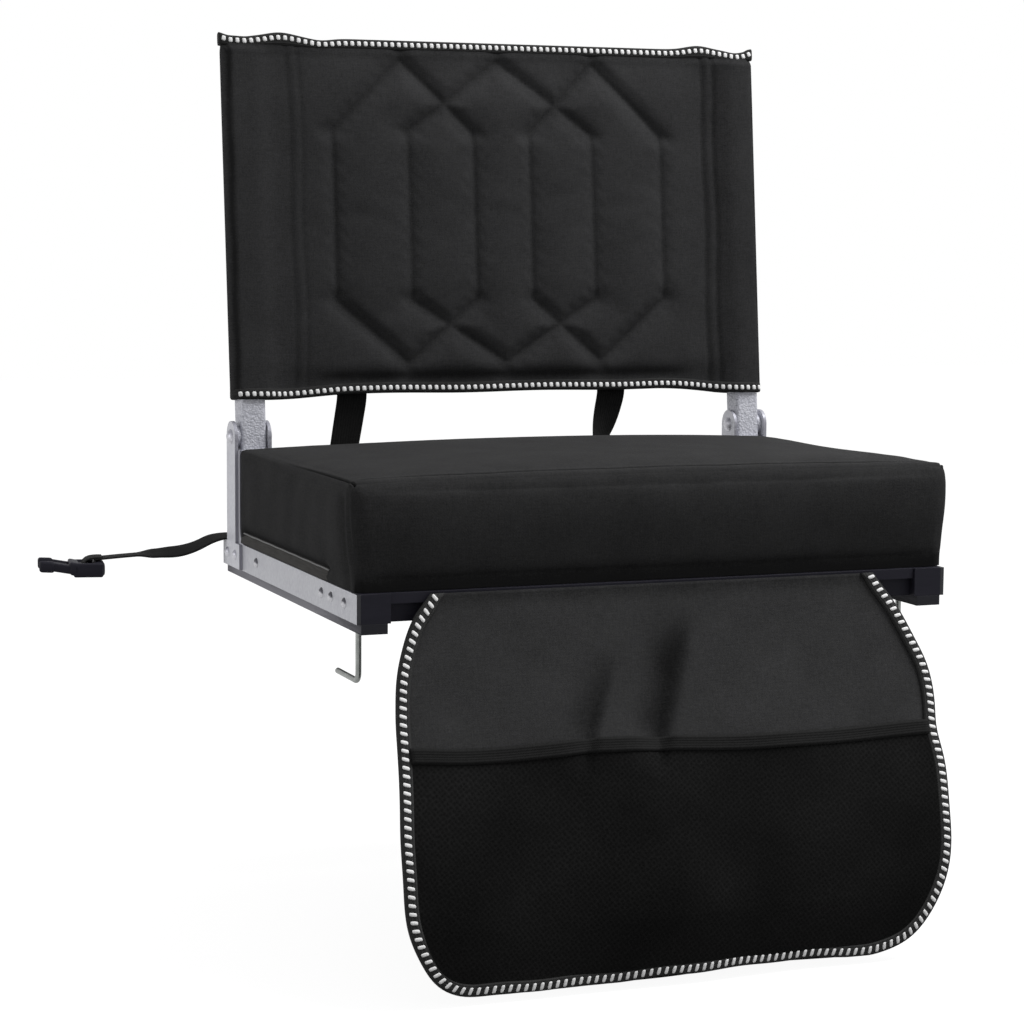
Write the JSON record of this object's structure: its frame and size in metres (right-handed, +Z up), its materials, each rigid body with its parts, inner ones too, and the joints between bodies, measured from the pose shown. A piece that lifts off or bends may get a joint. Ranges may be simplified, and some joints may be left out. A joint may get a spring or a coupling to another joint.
{
  "type": "folding bleacher seat",
  "caption": "Folding padded bleacher seat with a quilted back on square tubes, a thick cushion, plank hooks, a hanging front flap with a mesh pocket and a closing strap.",
  "frame": {"origin": "middle of the runners' underside, on the plank that the seat stands on", "axes": "+X to the right as seen from the front, +Y to the rear, +Z up; the front faces -Y"},
  "size_m": [0.5759, 0.4043, 0.6268],
  "materials": {
    "hammered_steel": "hammered silver-grey enamel",
    "black_plastic": "satin black",
    "runner_rubber": "matt dark grey",
    "board_wood": "painted black",
    "foam": "open-cell foam",
    "seat_fabric": "woven black polyester",
    "back_fabric": "quilted black polyester",
    "flap_fabric": "woven black polyester",
    "pocket_mesh": "open black mesh",
    "binding_tape": "black tape with pale dashes",
    "webbing": "ribbed black webbing",
    "plain_steel": "zinc plated"
  },
  "bodies": {
    "base": {"left_side_plate": "hammered_steel", "right_side_plate": "hammered_steel", "left_outer_hinge_plate": "hammered_steel", "right_outer_hinge_plate": "hammered_steel", "left_inner_hinge_plate": "hammered_steel", "right_inner_hinge_plate": "hammered_steel", "left_side_beam": "black_plastic", "right_side_beam": "black_plastic", "left_runner": "runner_rubber", "right_runner": "runner_rubber", "front_crossbar": "black_plastic", "middle_crossbar": "black_plastic", "rear_crossbar": "black_plastic", "seat_board": "board_wood", "seat_foam": "foam", "seat_cover": "seat_fabric", "left_recline_stop": "hammered_steel", "right_recline_stop": "hammered_steel", "hinge_pins": "plain_steel", "hinge_spacers": "black_plastic", "hinge_washers": "black_plastic", "hinge_rivets": "plain_steel", "crossbar_rivets": "plain_steel", "crossbar_screws": "plain_steel", "plate_screws": "plain_steel", "board_screws": "plain_steel", "left_back_strap": "webbing", "right_back_strap": "webbing", "strap_clamps": "plain_steel", "strap_screws": "plain_steel", "closing_strap": "webbing", "closing_buckle": "black_plastic", "closing_strap_clamp": "plain_steel", "closing_strap_screw": "plain_steel"},
    "back": {"left_upright": "hammered_steel", "right_upright": "hammered_steel", "upright_caps": "black_plastic", "back_cover": "back_fabric", "back_foam": "foam", "back_top_binding": "binding_tape", "back_bottom_binding": "binding_tape"},
    "flap": {"flap_panel": "flap_fabric", "flap_binding": "binding_tape", "flap_pocket": "pocket_mesh", "pocket_hem": "binding_tape"},
    "left_hook": {"left_hook": "plain_steel", "left_hook_clip": "plain_steel"},
    "right_hook": {"right_hook": "plain_steel", "right_hook_clip": "plain_steel"}
  },
  "joints": [
    {"name": "back_fold", "type": "hinge", "parent": "base", "child": "back", "pos_m": [0, 0.1315, 0.104], "axis": [1, 0, 0], "range_deg": [0, 85], "deforming": ["left_back_strap", "right_back_strap"]},
    {"name": "flap_lift", "type": "hinge", "parent": "base", "child": "flap", "pos_m": [0, -0.1614, 0.0252], "axis": [-1, 0, 0], "range_deg": [0, 140]},
    {"name": "left_hook_swivel", "type": "hinge", "parent": "base", "child": "left_hook", "pos_m": [-0.2013, -0.1234, 0], "axis": [0, 0, 1], "continuous": true},
    {"name": "right_hook_swivel", "type": "hinge", "parent": "base", "child": "right_hook", "pos_m": [0.2013, -0.1234, 0], "axis": [0, 0, 1], "continuous": true}
  ]
}
